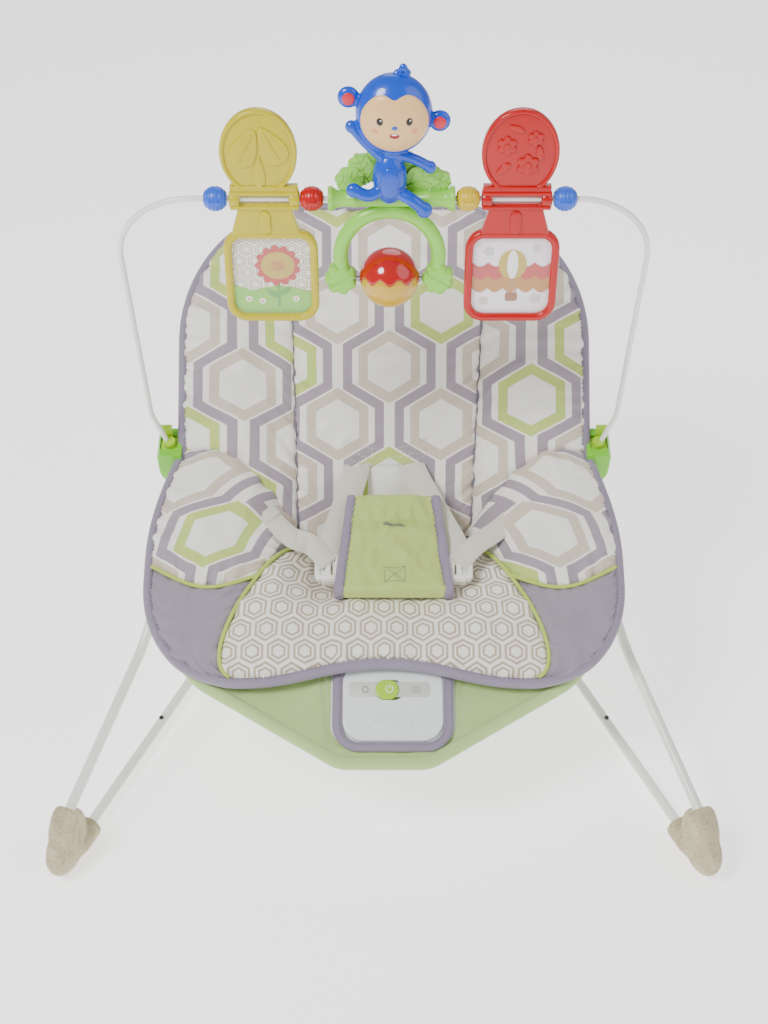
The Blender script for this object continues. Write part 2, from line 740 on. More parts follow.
def wrinkles(p, along, edge, seed):
    """Small folds: puckers that run out from a seam, and a slow billow over the panel."""
    pucker = noise.noise(Vector((along / 9.0, edge / 40.0, seed))) * exp(-edge / 20.0) * 6.4
    billow = noise.noise(Vector((p.x / 55.0, p.y / 55.0, p.z / 55.0 + seed))) * 5.4
    crease = abs(noise.noise(Vector((p.x / 34.0, p.z / 20.0, seed + 3)))) * -6.6
    return pucker + (billow + crease) * (1 - exp(-edge / 25.0))


def buckle_dent(p):
    """The filling gives way below each buckle."""
    return -8.0 * exp(-((abs(p.x - BUCKLE_X) - 75) / 30) ** 2 - ((p.y + 46) / 28) ** 2)


def panel(name, surface, corner, uv, material, columns, rows, seed, puff=PUFF):
    """A filled panel of the cover; corner(a, b) gives (u, v) on the surface for a, b in 0..1."""
    width = (surface(*corner(1, 0.5)) - surface(*corner(0, 0.5))).length
    length = (surface(*corner(0.5, 1)) - surface(*corner(0.5, 0))).length

    def top(a, b):
        u, v = corner(a, b)
        p = surface(u, v)
        da, db = min(a, 1 - a) * width, min(b, 1 - b) * length
        edge = min(da, db)
        crown = puff * (1 - exp(-da / CROWN_RUN)) * (1 - exp(-db / CROWN_RUN))
        along = b * length if da < db else a * width
        sink = -STITCH_SINK * exp(-edge / STITCH_RUN)
        height = PAD_HALF + crown + sink + buckle_dent(p) + wrinkles(p, along, edge, seed)
        return p + surface_normal(surface, u, v) * height

    def bottom(a, b):
        u, v = corner(a, b)
        return surface(u, v) - surface_normal(surface, u, v) * PAD_HALF

    obj = slab(name, top, bottom, lambda a, b: uv(*corner(a, b)), material, columns, rows)
    obj.data.materials.append(LINING)
    for face in obj.data.polygons:
        if min(face.vertices) >= (columns + 1) * (rows + 1):
            face.material_index = 1
    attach(obj, "seat")
    return obj


def back_seam(side, v):
    """u of the seam beside the back's middle panel."""
    x = (84.0 + 8.0 * v) if side < 0 else (85.0 + 16.0 * v)
    return side * min(0.95, x / back_half_width(v * PAD_BACK_LEN))


def seat_seam(v):
    """u of the seam beside the seat's middle panel."""
    return 0.36 + 0.34 * v + 0.17 * v ** 4


def beside_seam(side, v, share):
    """u on the seat's side panel, from the seam (0) to the rim (1)."""
    return side * (seat_seam(v) + (1 - seat_seam(v)) * share)


def wing_end(a):
    """v where the printed wing meets the plain corner, from the inner seam (0) to the rim (1)."""
    return 0.50 + 0.10 * sin(pi * a ** 0.75) + 0.02 * a


V0, V1 = 0.002, 0.995
centre_print = hexagon_print("hexagon print middle", back_uv(0.028, 0.607), (4, 1, 0.5))
left_print = hexagon_print("hexagon print left", back_uv(-0.707, 0.309), (2, 1, 0.5))
right_print = hexagon_print("hexagon print right", back_uv(0.738, 0.236), (4, 0, 1.5))
wing_left_print = hexagon_print("hexagon print wing left", seat_uv(-0.738, 0.378), (4, 0, 0.5), 1)
wing_right_print = hexagon_print("hexagon print wing right", seat_uv(0.717, 0.372), (4, 3, 0.5), 1)
tiny_print = small_print("small hexagon print")



def down_cover(b):
    """v on the cover for b in 0..1, a hair inside both ends."""
    return V0 + (V1 - V0) * b


def back_middle_corner(a, b):
    v = down_cover(b)
    return back_seam(-1, v) * (1 - a) + back_seam(1, v) * a, v


def seat_middle_corner(a, b):
    v = down_cover(b)
    return seat_seam(v) * (2 * a - 1), v


back_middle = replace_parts(panel("back panel middle", back_point, back_middle_corner, back_uv,
                                centre_print, 64, 130, 1.0), "pad_back")
for side, side_name, print_cloth in ((-1, "left", left_print), (1, "right", right_print)):
    def back_corner(a, b, side=side):
        v = down_cover(b)
        inner, outer = back_seam(side, v), side * 1.0
        return (outer + (inner - outer) * a if side < 0 else inner + (outer - inner) * a), v
    panel("back panel " + side_name, back_point, back_corner, back_uv, print_cloth, 40, 96, 2.0 + side)

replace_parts(panel("seat panel middle", seat_point, seat_middle_corner, seat_uv,
                  tiny_print, 84, 84, 7.0), "pad_seat")
for side, side_name, print_cloth in ((-1, "left", wing_left_print), (1, "right", wing_right_print)):
    def across(a, side=side):
        return 1 - a if side < 0 else a

    def wing_corner(a, b, side=side):
        share = across(a)
        v = V0 + (wing_end(share) - V0) * b
        return beside_seam(side, v, share), v

    def plain_corner(a, b, side=side):
        share = across(a)
        v = wing_end(share) + (V1 - wing_end(share)) * b
        return beside_seam(side, v, share), v
    panel("wing " + side_name, seat_point, wing_corner, seat_uv, print_cloth, 56, 56, 11.0 + side)
    panel("corner " + side_name, seat_point, plain_corner, seat_uv, GREY_CLOTH, 52, 48, 15.0 + side, 4.0)


back_skin = BVHTree.FromPolygons([corner.co.copy() for corner in back_middle.data.vertices],
                                 [tuple(face.vertices) for face in back_middle.data.polygons])


def over_back(u, v):
    """The point of the filled middle back panel over (u, v)."""
    p, n = back_point(u, v), surface_normal(back_point, u, v)
    hit = back_skin.ray_cast((p + n * 40) * MM, -n)[0]
    return hit / MM if hit else p + n * 13


def surface_line(surface, line, lift):
    """Points of a line of (u, v) on the cover, raised along its normal, with those normals."""
    normals = [surface_normal(surface, u, v) for u, v in line]
    return [surface(u, v) + n * lift for (u, v), n in zip(line, normals)], normals


def seam_trim(name, surface, line, radius, material, lift=PAD_HALF - 0.5):
    path, normals = surface_line(surface, line, lift)
    obj = sweep(name, path, circle(radius, 8), material, twist=normals)
    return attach(obj, "seat")


for side, side_name in ((-1, "left"), (1, "right")):
    seam_trim("seat piping " + side_name, seat_point,
              [(side * seat_seam(v / 60), v / 60) for v in range(4, 60)], 1.9, GREEN_PIPING, PAD_HALF)
    shares = [a / 40 for a in range(40)]
    seam_trim("wing piping " + side_name, seat_point,
              [(beside_seam(side, wing_end(a), a), wing_end(a)) for a in shares],
              1.9, GREEN_PIPING, PAD_HALF)
    seam_trim("back seam " + side_name, back_point,
              [(back_seam(side, v / 70), v / 70) for v in range(2, 70)],
              0.9, THREAD_GREY, PAD_HALF - 2.6)

# grey binding round the whole edge
rim = [(seat_point, (1.0, k / 60)) for k in range(60)]
rim += [(seat_point, (cos(pi * k / 40), 1.0)) for k in range(1, 40)]
rim += [(seat_point, (-1.0, 1 - k / 60)) for k in range(1, 61)]
rim += [(back_point, (-1.0, k / 60)) for k in range(1, 60)]
rim += [(back_point, (-cos(pi * k / 40), 1.0)) for k in range(0, 41)]
rim += [(back_point, (1.0, 1 - k / 60)) for k in range(1, 60)]
path, normals = [], []
for surface, (u, v) in rim:
    path.append(surface(u, v))
    normals.append(surface_normal(surface, u * 0.995, min(0.99, max(0.01, v))))

def softened(ring):
    """Each vector of a closed ring averaged with its neighbours."""
    return [(ring[k - 1] + ring[k] * 2 + ring[(k + 1) % len(ring)]) / 4 for k in range(len(ring))]


for _ in range(4):
    path = softened(path)
    normals = [n.normalized() for n in softened(normals)]
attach(sweep("binding", path, circle(6.0, 14, 0.8), BINDING, closed=True, twist=normals), "seat")
inner_line = [p + n * 5.4 + (Vector((0, 60, 260)) - p).normalized() * 3.4 for p, n in zip(path, normals)]
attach(stitches("binding stitches", inner_line, normals, THREAD_GREY, 2.6, 1.6, 0.4), "seat")


# ---------------------------------------------------------------- beads
BEADS = (("bead_blue_left", -134.6, BEAD_BLUE), ("bead_red", -57.6, BEAD_RED),
         ("bead_yellow", 67.0, BEAD_YELLOW), ("bead_blue_right", 144.4, BEAD_BLUE))
for name, x, finish in BEADS:
    profile = []
    for k in range(61):
        t = -1 + 2 * k / 60
        groove = 0.55 * max(0.0, cos(t * 5.5 * pi)) ** 6
        profile.append((9.1 * t, sqrt(max(0.0, 100 * (1 - (t * 0.87) ** 2))) - groove))
    bead = lathe(name + " visual", profile, (x, BAR_Y, BAR_Z), finish)
    pill = plate(name + " pill", [rounded(9.5, 3.4, 1.7)], 0.9, finish,
                 facing(x, BAR_Y - 9.6, BAR_Z), 0.6)
    bead = join(name + " visual", [bead, pill])
    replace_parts(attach(bead, name), name)


# ---------------------------------------------------------------- front boots
SPLAY, SPLAY_ORIGIN = radians(21), (272.5, -187.5)
BEND_U, BEND_Z, BEND_R, RISE = -24.0, 37.0, 24.0, 23.7


def leg_side(side, u, z, out=0.0):
    """A point in a leg's upright plane: u back from the foot, z up, out away from the middle."""
    return Vector((side * (SPLAY_ORIGIN[0] - u * sin(SPLAY) + out * cos(SPLAY)),
                   SPLAY_ORIGIN[1] + u * cos(SPLAY) + out * sin(SPLAY), z))


def bend(degrees, radius=BEND_R):
    return BEND_U + radius * cos(radians(degrees)), BEND_Z + radius * sin(radians(degrees))


for side, label in ((-1, "left"), (1, "right")):
    rise = (cos(radians(RISE)), sin(radians(RISE)))
    start = bend(90 + RISE)
    sleeve = [(start[0] + rise[0] * t, start[1] + rise[1] * t) for t in (3, 1)]
    turn = [bend(a) for a in range(int(90 + RISE), 271, 12)]
    arm = [(BEND_U + t, BEND_Z - BEND_R) for t in (6, 12, 18)]
    across = (leg_side(side, 0, 0, 1) - leg_side(side, 0, 0, 0)).normalized()
    parts = []
    for name, line, wide, tall in (("sleeve", sleeve + turn[:4], 11.6, 10.2),
                                   ("nose", turn, 13.0, 12.2),
                                   ("arm", turn[-4:] + arm, 13.0, 12.2)):
        path = [leg_side(side, u, z) for u, z in line]
        runs = [b - a for a, b in zip(path[:1] + path, path[1:] + path[-1:])]
        parts.append(sweep(name, path, ellipse(wide, tall, count=24), RUBBER,
                           twist=[across.cross(run).normalized() for run in runs]))
    splay = Matrix.Rotation(side * SPLAY, 3, "Z")
    for name, u, z, radii in (("web", BEND_U - 9, BEND_Z - 2, (10.5, 19, 24)),
                              ("toe", BEND_U - 24, 25, (13.5, 24, 25))):
        parts.append(blob(name, leg_side(side, u, z), radii, RUBBER, turn=splay))
    boot = merged("boot_" + label, parts, RUBBER, 1.1, 16)
    groove = [leg_side(side, *bend(a, 31.5), 9.6) for a in range(190, 266, 5)]
    groove += [leg_side(side, BEND_U + t, BEND_Z - 31, 10.2) for t in (5, 10, 15)]
    boot = join("boot_" + label, [boot, sweep("groove", groove, circle(0.5, 8), ICON)])
    for corner in boot.data.vertices:
        corner.co.z = max(corner.co.z, 0.0)
    foot = leg_side(side, BEND_U, 0)
    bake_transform(boot)
    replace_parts(boot, "front_boot_" + label)


# ---------------------------------------------------------------- swinging monkey toy
TOY_X, ARCH_X, ARCH_Z, BALL_Z, BALL_R, KNOB_X = 6.0, -1.5, -51.0, -71.0, 25.0, 40.0


def toy(x, up, forward=0.0):
    """A point beside the toy: right, up and forward of where it hangs on the bar."""
    return Vector((TOY_X + x, BAR_Y - forward, BAR_Z + up))


def limb(name, path, radius, tip):
    """A limb with a rounded hand or foot."""
    line = smooth_path([toy(*p) for p in path], 8)
    return [sweep(name, line, circle(radius, 16), BLUE),
            blob(name + " tip", line[-1], (tip, tip * 0.8, tip), BLUE),
            blob(name + " root", line[0], (radius,) * 3, BLUE)]


HEAD = (1.7, 72.0, 1.0)
HEAD_R = (30.0, 21.0, 31.5)
EARS = ((-33.2, 84.5), (37, 65.5))
figure = [blob("head", toy(*HEAD), HEAD_R, BLUE, 28, 40),
          blob("body", toy(-1.5, 20, 4), (13.6, 11, 22), BLUE),
          blob("neck", toy(0, 40, 2), (9, 8, 8), BLUE)]
for x, up in EARS:
    figure.append(blob("ear", toy(x, up, 0), (8.6, 4.6, 8.6), BLUE))
figure += limb("raised arm", [(-8, 38, 5), (-20, 49, 4), (-31, 62, 3)], 4.2, 5.2)
figure += limb("open arm", [(6, 40, 5), (18, 36, 5), (30, 29, 4)], 4.2, 5.2)
figure += limb("left leg", [(-8, 12, 8), (-18, 8, 11), (-30, 12, 10)], 5.0, 6.0)
figure += limb("right leg", [(8, 8, 8), (17, 4, 12), (26, -4, 12)], 5.2, 6.6)
for x, up, size in ((4, 103, 3.0), (8.5, 107, 3.4), (12, 103.5, 2.6)):
    figure.append(blob("tuft", toy(x, up, 0), (size, 2.6, size * 1.2), BLUE))
monkey = merged("monkey", figure, BLUE, 0.75)


def head_front(x, up, lift=0.0):
    """The point of the head's front surface at x, up from the head's centre."""
    rest = max(0.0, 1 - (x / HEAD_R[0]) ** 2 - (up / HEAD_R[2]) ** 2)
    return toy(HEAD[0] + x, HEAD[1] + up, HEAD[2] + HEAD_R[1] * sqrt(rest) + lift)


def face_patch(name, outline, material, centre=(0, 0), lift=0.9, rings=14, count=72):
    """A thin raised patch on the head; outline(angle) gives its radius about its centre."""
    points, faces = [], []
    for layer, height in ((0, lift), (1, -1.5)):
        points.append(head_front(*centre, height))
        for j in range(1, rings + 1):
            for k in range(count):
                a = tau * k / count
                r = outline(a) * j / rings
                edge = 1 - 0.75 * (j / rings) ** 10
                points.append(head_front(centre[0] + r * cos(a), centre[1] + r * sin(a),
                                         height * edge if not layer else height))
    half = 1 + rings * count
    for layer in (0, half):
        for k in range(count):
            ring = (layer + 1 + k, layer + 1 + (k + 1) % count)
            faces.append((layer, *ring) if not layer else (layer, *ring[::-1]))
            for j in range(rings - 1):
                a, b = layer + 1 + j * count + k, layer + 1 + j * count + (k + 1) % count
                quad = (a, a + count, b + count, b)
                faces.append(quad if not layer else quad[::-1])
    for k in range(count):
        a, b = 1 + (rings - 1) * count + k, 1 + (rings - 1) * count + (k + 1) % count
        faces.append((a, a + half, b + half, b))
    return new_mesh(name, points, faces, material)


def oval(rx, ry):
    return lambda a: rx * ry / sqrt((ry * cos(a)) ** 2 + (rx * sin(a)) ** 2)


def brow(a):
    """Outline of the face: round below, with a notch between two lobes above."""
    off = (a - pi / 2 + pi) % tau - pi
    return 25.4 * (1 - 0.24 * exp(-(off / 0.30) ** 2)) * (1 + 0.03 * cos(2 * a))


details = [face_patch("face", brow, TAN, (0.3, -1.5), 0.7)]
for x in (-11.0, 11.5):
    details.append(face_patch("eye", oval(2.6, 3.3), INK_BLACK, (x, 1.5), 1.4, 6, 24))
    details.append(face_patch("glint", oval(0.8, 0.9), INK_WHITE, (x + 0.7, 2.8), 1.75, 3, 12))
    details.append(face_patch("cheek", oval(3.2, 2.2), moulded("cheek", rgb(240, 178, 146), 0.35),
                              (x * 1.35, -6.5), 0.95, 5, 24))
details.append(face_patch("nose", oval(2.4, 1.6), BLUE, (0.3, -3.0), 1.5, 6, 24))
details.append(face_patch("mouth", oval(4.4, 2.6), moulded("mouth", rgb(150, 24, 30), 0.35),
                          (0.3, -9.8), 0.95, 6, 24))
details.append(face_patch("teeth", oval(3.0, 0.8), INK_WHITE, (0.3, -8.6), 1.15, 4, 20))
for x, up in EARS:
    details.append(blob("ear_hollow", toy(x, up, 4.1), (4.8, 1.2, 5.0), INK_PINK))
details.append(blob("belly", toy(-1.5, 19, 13.2), (7.5, 2.4, 13), BLUE))
monkey = join("monkey", [monkey] + details)
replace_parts(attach(monkey, "monkey_toy"), "monkey_figure", "monkey_face")

turns = [radians(a) for a in range(-28, 209, 4)]
arc = [toy(ARCH_X + KNOB_X * cos(a), ARCH_Z + KNOB_X * sin(a)) for a in turns]
arch = [sweep("arch", arc, ellipse(5.2, 6.2, count=20), LEAF,
              twist=[(p - toy(ARCH_X, ARCH_Z)).normalized() for p in arc])]
profile = [(-50.6, 3.0), (-50.6, 9.4), (-49.8, 10.0), (-47.5, 10.0), (-46.6, 9.2), (-44, 7.4),
           (-42, 6.7), (-40, 6.5), (-31, 6.5), (-30.4, 7.1), (-28.6, 7.1), (-28, 6.5)]
profile += [(-x, r) for x, r in reversed(profile)]
arch.append(lathe("arch tube", profile, toy(0, 0), LEAF))
for side in (-1, 1):
    x = side * KNOB_X + ARCH_X
    lobes = [(px * 0.96, py * 1.02) for px, py in scallops(11.6, 2.4, 7)]
    arch.append(plate("knob", [lobes], 6.4, LEAF, facing(*toy(x, BALL_Z)), 3.6))
    crease = [toy(x + side * t * 11, BALL_Z - t * 7, 6.5) for t in (-1, -0.5, 0, 0.5, 1)]
    arch.append(sweep("crease", crease, circle(0.7, 8), LEAF))


def leaf(name, x, up, length, width, turn, forward=-3.5):
    """A lobed leaf with a midrib and side veins."""
    outline = []
    for k in range(96):
        a = tau * k / 96
        r = 0.94 + 0.05 * cos(7 * a) - 0.10 * cos(a) ** 6
        outline.append((length / 2 * r * cos(a), width / 2 * r * sin(a)))
    place = facing(*toy(x, up, forward)) @ Matrix.Rotation(radians(turn), 4, "Z")
    pieces = [plate(name, [outline], 2.6, LEAF, place, 0.7)]
    veins = [((-0.42, 0), (0.42, 0))]
    veins += [((t, 0), (t + 0.14, s * 0.3)) for t in (-0.25, 0.0, 0.2) for s in (-1, 1)]
    for start, end in veins:
        a, b = (place @ (Vector((p[0] * length, p[1] * width, 2.6)) * MM) / MM for p in (start, end))
        pieces.append(sweep("vein", [a, (a + b) / 2, b], circle(0.55, 6), LEAF))
    return pieces


for values in ((-33, 16, 27, 21, 20, -2.4), (-12, 29, 32, 22, 75, -5.0), (-23, 24, 30, 22, 115, -3.6),
               (24, 17, 36, 24, 25, -2.6), (37, 14, 24, 19, -10, -3.8), (13, 26, 26, 19, 80, -5.0)):
    arch += leaf("leaf", *values)
arch = join("toy_ring_and_leaves", arch)
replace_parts(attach(arch, "monkey_toy"), "toy_arch")


def ball_half(name, node, sign, radius, material):
    """Half of the ball, with a wavy edge; it closes on the ball's centre."""
    centre = toy(ARCH_X, BALL_Z)
    tilt = Matrix.Rotation(radians(-17), 3, "X")
    rows, count = 26, 120
    points, faces = [Vector(centre), centre + tilt @ Vector((0, 0, sign * radius))], []
    for j in range(1, rows + 1):
        for k in range(count):
            a = tau * k / count
            edge = radians(5.5) * cos(10 * a)
            latitude = sign * (pi / 2 - (pi / 2 - sign * edge) * j / rows)
            out = radius * cos(latitude)
            points.append(centre + tilt @ Vector((out * cos(a), out * sin(a), radius * sin(latitude))))
    for k in range(count):
        nxt = (k + 1) % count
        faces.append((1, 2 + k, 2 + nxt) if sign > 0 else (1, 2 + nxt, 2 + k))
        for j in range(rows - 1):
            a, b = 2 + j * count + k, 2 + j * count + nxt
            faces.append((a, a + count, b + count, b) if sign > 0 else (a, b, b + count, a + count))
        a, b = 2 + (rows - 1) * count + k, 2 + (rows - 1) * count + nxt
        faces.append((a, 0, b) if sign > 0 else (b, 0, a))
    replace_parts(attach(new_mesh(name, points, faces, material), "ball"), node)


ball_half("ball_red_half", "ball_top", 1, BALL_R, BALL_RED)
ball_half("ball_yellow_half", "ball_bottom", -1, BALL_R - 0.4, BALL_YELLOW)


# ---------------------------------------------------------------- picture flaps
CARD_UP, DISC_UP = -69.0, 39.5      # middles of the card and the disc, up from the bar
YELLOW_X, YELLOW_SHIFT = -95.3, 3.0      # hinge, and how far its card sits to the right
RED_X, RED_SHIFT = 105.7, -1.0
CARD = rounded(67, 74, 12)


def under(curve, width=66.0, height=73.0, radius=12.0, steps=60):
    """The part of the card below a curve."""
    top = [(width / 2 - width * k / steps, height / 2) for k in range(1, steps)]
    loop = rounded(width, height, radius)
    loop = loop[:9] + top + loop[9:]
    return [(x, min(y, curve(x))) for x, y in loop]


def flap(x, shift, material):
    """The moulded flap: rimmed disc, hinge barrel with its slot, neck and card frame."""
    face = facing(x, BAR_Y, BAR_Z)
    half_neck = [(-27, 12), (-27, -2), (-21.5, -8), (-29, -34)]
    neck = half_neck + [(-px, py) for px, py in reversed(half_neck)]
    rim_loops = [ellipse(30.5, 36, -shift, DISC_UP), ellipse(26.8, 32.3, -shift, DISC_UP)]
    frame_loops = [rounded(77, 84, 17, shift, CARD_UP), rounded(64, 71, 11, shift, CARD_UP)]
    pieces = [plate("rim", rim_loops, 4.0, material, face, 1.8),
              plate("disc", [ellipse(28, 33.5, -shift, DISC_UP)], 2.4, material, face, 0.5),
              plate("neck", [neck, rounded(39, 7.6, 2)], 4.0, material, face, 1.4),
              plate("card_frame", frame_loops, 4.2, material, face, 2.6),
              plate("pill", [rounded(9, 20, 4.4, 0, -19)], 1.4, material, face, 1.1, 4.2)]
    for side in (-1, 1):
        profile = [(-4.2, 5.8), (-3.6, 6.6), (3.6, 6.6), (4.2, 5.8)]
        pieces.append(lathe("knuckle", profile, (x + side * 23.8, BAR_Y, BAR_Z), material))
    for up in (6.0, -6.0):
        pieces.append(plate("barrel_edge", [rounded(55, 3.4, 1.2, 0, up)], 5.4, material, face, 1.0))
    return face, pieces


def relief(pieces, face, outline, material, forward, rise=1.2, bevel=0.8):
    pieces.append(plate("relief", [outline], rise, material, face, bevel, forward))


def turned(points, angle, x, y):
    a = radians(angle)
    return [(x + px * cos(a) - py * sin(a), y + px * sin(a) + py * cos(a)) for px, py in points]


face, pieces = flap(YELLOW_X, YELLOW_SHIFT, YELLOW)
for length, width, angle, x, y in ((34, 20, 62, -13, 44), (34, 20, 118, 7, 46), (26, 9, 90, -3, 24)):
    petal = [(px, py * (1 - px / length)) for px, py in ellipse(length / 2, width / 2, count=40)]
    relief(pieces, face, turned(petal, angle, x, y), YELLOW, 2.4)
for angle, x, y in ((62, -13, 44), (118, 7, 46)):
    relief(pieces, face, turned(rounded(26, 1.6, 0.8), angle, x, y), YELLOW, 3.7, 0.6, 0.5)
yellow_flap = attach(join("yellow_flap_visual", pieces), "yellow_flap")
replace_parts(yellow_flap, "yellow_flap")

card = facing(YELLOW_X + YELLOW_SHIFT, BAR_Y, BAR_Z + CARD_UP)
art = [plate("card", [CARD], 0.6, small_print("honeycomb card", 12.5, "xz", False), card, 0.1, -0.75)]


def printed(name, outline, material, level, half=0.1):
    """A flat print on the card now being made."""
    art.append(plate(name, [outline], half, material, card, 0.02, level))


printed("hill", under(lambda x: -17 + 7 * cos((x - 6) / 19.0)), INK_GREEN, 0.06, 0.08)
printed("far_hill", under(lambda x: -8 - (x + 34) * 0.36), INK_GREEN, 0.04, 0.05)
printed("stem", rounded(2.4, 30, 1, 5, -14), moulded("stem print", rgb(96, 160, 60), 0.4), 0.1)
printed("petals", scallops(15.5, 3.4, 13, 5, 9), INK_RED, 0.14)
printed("flower", ellipse(14, 12.5, 5, 9), INK_YELLOW, 0.22)
printed("flower_heart", ellipse(5.5, 5, 5, 9), INK_ORANGE, 0.3)
for angle, x, y in ((35, 10, -15), (145, 0, -17)):
    printed("leaf_print", turned(ellipse(6, 2.6), angle, x, y),
            moulded("leaf print", rgb(96, 160, 60), 0.4), 0.16)
for x, y in ((-20, -22), (-9, -24), (19, -22)):
    printed("daisy", scallops(1.8, 1.2, 6, x, y), INK_WHITE, 0.2)
    printed("daisy_heart", ellipse(1.1, 1.1, x, y, 16), INK_ORANGE, 0.28)
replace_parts(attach(join("yellow_card_visual", art), "yellow_flap"), "yellow_card")
pane = plate("yellow_pane", [rounded(66, 73, 12)], 0.3, WINDOW, card, 0.1, 1.6)
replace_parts(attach(pane, "yellow_flap"), "yellow_window")

face, pieces = flap(RED_X, RED_SHIFT, RED)
for x, y, size in ((-10, 46, 8), (12, 52, 6.5), (7, 30, 9)):
    relief(pieces, face, scallops(size * 0.72, size * 0.3, 6, x, y), RED, 2.6)
    relief(pieces, face, ellipse(size * 0.3, size * 0.3, x, y, 24), RED, 3.8, 0.8, 0.6)
for angle, x, y in ((40, -12, 27), (100, 16, 40), (160, -3, 60)):
    relief(pieces, face, turned(ellipse(6.5, 2.8), angle, x, y), RED, 2.6)
red_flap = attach(join("red_flap_visual", pieces), "red_flap")
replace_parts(red_flap, "red_flap")

card = facing(RED_X + RED_SHIFT, BAR_Y, BAR_Z + CARD_UP)
art = [plate("card", [CARD], 0.6, moulded("card white", rgb(244, 240, 243), 0.45), card, 0.1, -0.75)]


def awning(level, drop, forward, material):
    """A scalloped band across the card."""
    low = [(-32 + 64 * k / 80, level - 4 * abs(sin(pi * 5 * k / 80))) for k in range(81)]
    high = [(-x, y + drop) for x, y in low]
    printed("awning", low + high, material, forward, 0.08)


awning(-12, 14, 0.06, INK_ORANGE)
awning(0, 12, 0.1, INK_RED)
printed("balloon", ellipse(11.5, 13.5, 1, 10), INK_YELLOW, 0.2)
printed("balloon_panel", ellipse(4.5, 13.2, 1, 10), INK_WHITE, 0.28)
printed("balloon_knot", [(-1.5, -6), (3.5, -6), (1, -3)], INK_ORANGE, 0.28)
printed("basket", rounded(10, 8, 1.5, 1, -20), moulded("basket print", rgb(150, 104, 66), 0.5), 0.2)
for x, top in ((-2.6, 0.0), (4.6, 2.0)):
    printed("rope", [(x, -16), (x + 0.6, -16), (top + 0.6, -5), (top, -5)], ICON, 0.2, 0.08)
for x, y, size in ((-19, 22, 4), (20, 25, 3.2), (-22, -24, 4), (21, -22, 4.6)):
    printed("cloud", scallops(size * 0.8, size * 0.35, 5, x, y), UNIT_GREY, 0.1, 0.08)
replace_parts(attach(join("red_card_visual", art), "red_flap"), "red_card")
pane = plate("red_pane", [rounded(66, 73, 12)], 0.3, WINDOW, card, 0.1, 1.6)
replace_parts(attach(pane, "red_flap"), "red_window")


# ---------------------------------------------------------------- harness
LOW, HIGH = Vector((BUCKLE_X, -66.0, 189.5)), Vector((BUCKLE_X, 20.0, 230.5))
HARNESS_UP = (HIGH - LOW).normalized()
HARNESS_OUT = Vector((1, 0, 0)).cross(HARNESS_UP)
HARNESS_MID = (LOW + HIGH) / 2


def harness(x, y, out):
    return HARNESS_MID + Vector((1, 0, 0)) * x + HARNESS_UP * y + HARNESS_OUT * out


def bell(x, width):
    return exp(-(x / width) ** 2)


def crotch_half(b):
    return 54.0 - 13.0 * b


def crotch_point(a, b, sign):
    """Upper (+1) or lower (-1) skin of the folded crotch pad."""
    across = 2 * a - 1
    y = -53 + 104 * b
    ends = sqrt(max(0.0, 1 - max(0.0, abs(2 * b - 1) - 0.86) ** 2 / 0.14 ** 2))
    crown = 6.6 * (1 - abs(across) ** 3) if sign > 0 else 0.0
    crease = -5.0 * bell(b - 0.68 + 0.03 * across * across, 0.035) * (0.55 + 0.45 * bell(across, 0.5))
    crease -= 2.4 * bell(b - 0.2, 0.09) * bell(across, 0.3)
    pucker = 2.0 * sin(across * 21 + 2 * sin(9 * b)) * bell(b - 0.72, 0.09) * bell(across, 0.6)
    fold = 4.4 * noise.noise(Vector((across * 2.0, b * 3.0, 4.0 * sign))) + pucker
    fold -= 5.0 * abs(noise.noise(Vector((across * 3.5 + b, b * 5.0, 7.0)))) * (1 - across ** 4)
    relief_height = (crown + crease + fold) * ends if sign > 0 else 0.0
    return harness(across * crotch_half(b), y, sign * 8.2 * ends + relief_height)


crotch = slab("crotch pad", lambda a, b: crotch_point(a, b, 1), lambda a, b: crotch_point(a, b, -1),
              lambda a, b: ((2 * a - 1) * crotch_half(b), 104 * b), CROTCH, 56, 60)
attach(crotch, "seat")
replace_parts(crotch, "crotch_pad")
for side in (-1, 1):
    a = 0.5 + side * 0.475
    for sign, label in ((1, "upper"), (-1, "lower")):
        edge = [crotch_point(a, k / 30, sign) for k in range(0, 31)]
        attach(sweep(f"crotch binding {label} {side}", edge, circle(2.0, 12, 2.4), BINDING,
                      twist=[HARNESS_OUT] * len(edge)), "seat")
    path = [crotch_point(0.5 + side * 0.435, k / 30, 1) + HARNESS_OUT * 0.5 for k in range(2, 29)]
    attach(stitches(f"crotch stitches {side}", path, [HARNESS_OUT] * len(path), THREAD_GREY,
                     2.4, 0.8, 0.45, 1.2), "seat")
bar = [crotch_point(0.39 + 0.22 * k / 12, 0.68, 1) for k in range(13)]
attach(stitches("bartack", bar, [HARNESS_OUT] * 13, THREAD_GREY, 1.3, 0.3, 0.45, 2.2, 0.6), "seat")


def box_stitch(name, corner_at, out, material):
    """A square of stitches with a cross in it; corner_at(i, j) is on the cloth for i, j in 0..1."""
    route = ((0, 0), (1, 0), (1, 1), (0, 1), (0, 0), (1, 1), (1, 0), (0, 1))
    line = []
    for (i0, j0), (i1, j1) in zip(route, route[1:]):
        line += [corner_at(i0 + (i1 - i0) * k / 8, j0 + (j1 - j0) * k / 8) for k in range(8)]
    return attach(stitches(name, line, [out] * len(line), material, 1.8, 0.9, 0.35, lift=0.4), "seat")


box_stitch("crotch box stitch", lambda i, j: crotch_point(0.42 + 0.18 * i, 0.10 + 0.14 * j, 1),
           HARNESS_OUT, THREAD_GREY)

